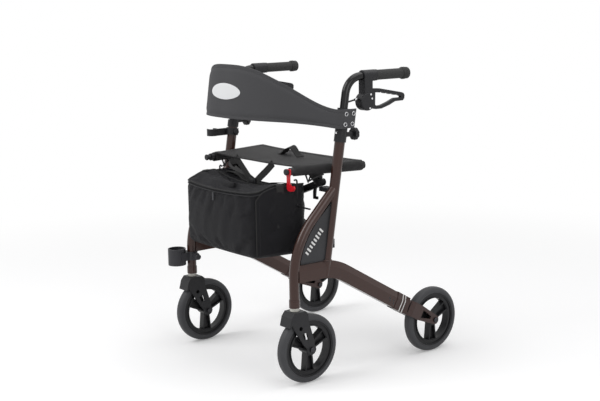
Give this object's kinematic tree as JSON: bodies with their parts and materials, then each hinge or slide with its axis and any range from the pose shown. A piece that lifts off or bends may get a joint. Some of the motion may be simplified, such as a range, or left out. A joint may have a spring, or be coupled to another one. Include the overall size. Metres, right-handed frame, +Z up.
{
  "type": "rollator walker",
  "caption": "Folding rollator with side frames on wheels, cross-brace under a sling seat, padded backrest band, brake handles, zipped bag and a cane holder.",
  "frame": {"origin": "on the floor under the middle of the bounding box, with the wheels on z = 0", "axes": "+Z up, +X towards the user's left side frame, +Y towards the user, who walks behind; the casters and the bag are towards -Y"},
  "size_m": [0.626, 0.69, 0.896],
  "materials": {
    "frame_paint": "satin metallic bronze-brown",
    "black_plastic": "fine texture",
    "grey_plastic": "fine texture",
    "black_paint": "gloss black",
    "brown_plastic": "smooth, in the frame's colour",
    "pale_plastic": "smooth",
    "tyre": "matte",
    "grip_rubber": "ribbed",
    "steel": "satin",
    "black_fabric": "woven",
    "band_vinyl": "padded, sewn",
    "webbing": "woven",
    "red_plastic": "gloss",
    "cable_sheath": "smooth"
  },
  "bodies": {
    "right_frame": {"post_right": "frame_paint", "front_leg_right": "frame_paint", "lower_arm_right": "frame_paint", "side_panel_right": "grey_plastic", "rear_fork_right": "brown_plastic", "rear_axle_right": "steel", "caster_socket_right": "pale_plastic", "height_collar_right": "black_plastic", "brace_bracket_right": "black_plastic", "band_rivets_right": "black_plastic", "brake_cable_right": "cable_sheath", "backrest_band": "band_vinyl", "bag_shell": "black_fabric", "v_straps": "webbing", "cane_cup": "black_plastic", "cane_clip": "black_plastic"},
    "arm_a": {"cross_arm_left": "black_paint", "seat_rail_left": "black_plastic", "centre_pin": "steel", "seat_sling": "black_fabric", "pull_strap": "webbing"},
    "arm_b": {"cross_arm_right": "black_paint", "seat_rail_right": "black_plastic"},
    "left_frame": {"post_left": "frame_paint", "front_leg_left": "frame_paint", "lower_arm_left": "frame_paint", "side_panel_left": "grey_plastic", "rear_fork_left": "brown_plastic", "rear_axle_left": "steel", "caster_socket_left": "pale_plastic", "height_collar_left": "black_plastic", "brace_bracket_left": "black_plastic", "band_rivets_left": "black_plastic", "brake_cable_left": "cable_sheath"},
    "handle_left": {"handle_tube_left": "black_paint", "grip_left": "grip_rubber", "brake_housing_left": "black_plastic"},
    "lever_left": {"brake_lever_left": "black_plastic"},
    "shoe_left": {"brake_shoe_left": "black_plastic"},
    "rear_wheel_left": {"rear_rim_left": "black_plastic", "rear_tyre_left": "tyre"},
    "caster_left": {"caster_fork_left": "black_plastic", "caster_axle_left": "steel"},
    "front_wheel_left": {"caster_rim_left": "black_plastic", "caster_tyre_left": "tyre"},
    "knob_left": {"star_knob_left": "black_plastic"},
    "handle_right": {"handle_tube_right": "black_paint", "grip_right": "grip_rubber", "brake_housing_right": "black_plastic"},
    "lever_right": {"brake_lever_right": "black_plastic"},
    "shoe_right": {"brake_shoe_right": "black_plastic"},
    "rear_wheel_right": {"rear_rim_right": "black_plastic", "rear_tyre_right": "tyre"},
    "caster_right": {"caster_fork_right": "black_plastic", "caster_axle_right": "steel"},
    "front_wheel_right": {"caster_rim_right": "black_plastic", "caster_tyre_right": "tyre"},
    "knob_right": {"star_knob_right": "black_plastic"},
    "latch": {"fold_latch": "red_plastic"},
    "lid": {"bag_lid": "black_fabric"}
  },
  "joints": [
    {"name": "fold", "type": "hinge", "parent": "right_frame", "child": "arm_a", "pos_m": [-0.24, -0.13, 0.387], "axis": [0, -1, 0], "range_deg": [0, 55.5], "deforming": ["seat_sling", "pull_strap", "v_straps", "backrest_band", "bag_shell", "bag_lid"]},
    {"name": "cross_pivot", "type": "hinge", "parent": "arm_a", "child": "arm_b", "pos_m": [0, -0.13, 0.47626], "axis": [0, -1, 0], "range_deg": [-111, 0], "deforming": ["seat_sling", "pull_strap", "v_straps", "backrest_band", "bag_shell", "bag_lid"]},
    {"name": "left_frame_pivot", "type": "hinge", "parent": "arm_b", "child": "left_frame", "pos_m": [0.24, -0.13, 0.387], "axis": [0, -1, 0], "range_deg": [0, 55.5], "deforming": ["seat_sling", "pull_strap", "v_straps", "backrest_band", "bag_shell", "bag_lid"]},
    {"name": "handle_slide_left", "type": "slide", "parent": "left_frame", "child": "handle_left", "axis": [0, 0.1642, 0.9864], "range_m": [-0.04, 0.09], "deforming": ["brake_cable_left"]},
    {"name": "brake_lever_left", "type": "hinge", "parent": "handle_left", "child": "lever_left", "pos_m": [0.267, 0.013, 0.794], "axis": [1, 0, 0], "range_deg": [-14, 10], "stiffness_Nm_per_rad": 5},
    {"name": "brake_shoe_left", "type": "hinge", "parent": "left_frame", "child": "shoe_left", "pos_m": [0.284, 0.15874, 0.165], "axis": [1, 0, 0], "range_deg": [-5.6, 4]},
    {"name": "rear_wheel_spin_left", "type": "hinge", "parent": "left_frame", "child": "rear_wheel_left", "pos_m": [0.284, 0.245, 0.1], "axis": [1, 0, 0], "continuous": true},
    {"name": "caster_swivel_left", "type": "hinge", "parent": "left_frame", "child": "caster_left", "pos_m": [0.267, -0.266, 0.22], "axis": [0, 0, 1], "continuous": true},
    {"name": "front_wheel_spin_left", "type": "hinge", "parent": "caster_left", "child": "front_wheel_left", "pos_m": [0.267, -0.224, 0.1], "axis": [1, 0, 0], "continuous": true},
    {"name": "star_knob_left", "type": "hinge", "parent": "left_frame", "child": "knob_left", "pos_m": [0.267, -0.0921, 0.697], "axis": [0, 1, 0], "continuous": true},
    {"name": "handle_slide_right", "type": "slide", "parent": "right_frame", "child": "handle_right", "axis": [0, 0.1642, 0.9864], "range_m": [-0.04, 0.09], "deforming": ["brake_cable_right"]},
    {"name": "brake_lever_right", "type": "hinge", "parent": "handle_right", "child": "lever_right", "pos_m": [-0.267, 0.013, 0.794], "axis": [1, 0, 0], "range_deg": [-14, 10], "stiffness_Nm_per_rad": 5},
    {"name": "brake_shoe_right", "type": "hinge", "parent": "right_frame", "child": "shoe_right", "pos_m": [-0.284, 0.15874, 0.165], "axis": [1, 0, 0], "range_deg": [-5.6, 4]},
    {"name": "rear_wheel_spin_right", "type": "hinge", "parent": "right_frame", "child": "rear_wheel_right", "pos_m": [-0.284, 0.245, 0.1], "axis": [1, 0, 0], "continuous": true},
    {"name": "caster_swivel_right", "type": "hinge", "parent": "right_frame", "child": "caster_right", "pos_m": [-0.267, -0.266, 0.22], "axis": [0, 0, 1], "continuous": true},
    {"name": "front_wheel_spin_right", "type": "hinge", "parent": "caster_right", "child": "front_wheel_right", "pos_m": [-0.267, -0.224, 0.1], "axis": [1, 0, 0], "continuous": true},
    {"name": "star_knob_right", "type": "hinge", "parent": "right_frame", "child": "knob_right", "pos_m": [-0.267, -0.0921, 0.697], "axis": [0, 1, 0], "continuous": true},
    {"name": "latch_pivot", "type": "hinge", "parent": "arm_a", "child": "latch", "pos_m": [0.203, -0.226, 0.6], "axis": [0, 1, 0], "range_deg": [-20, 100]},
    {"name": "lid_hinge", "type": "hinge", "parent": "right_frame", "child": "lid", "pos_m": [0, -0.217, 0.5394], "axis": [-1, 0, 0], "range_deg": [0, 75]}
  ],
  "couplings": [
    {"joint": "cross_pivot", "follows": "fold", "ratio": -2},
    {"joint": "left_frame_pivot", "follows": "fold", "ratio": 1},
    {"joint": "brake_shoe_left", "follows": "brake_lever_left", "ratio": 0.4},
    {"joint": "brake_shoe_right", "follows": "brake_lever_right", "ratio": 0.4}
  ]
}
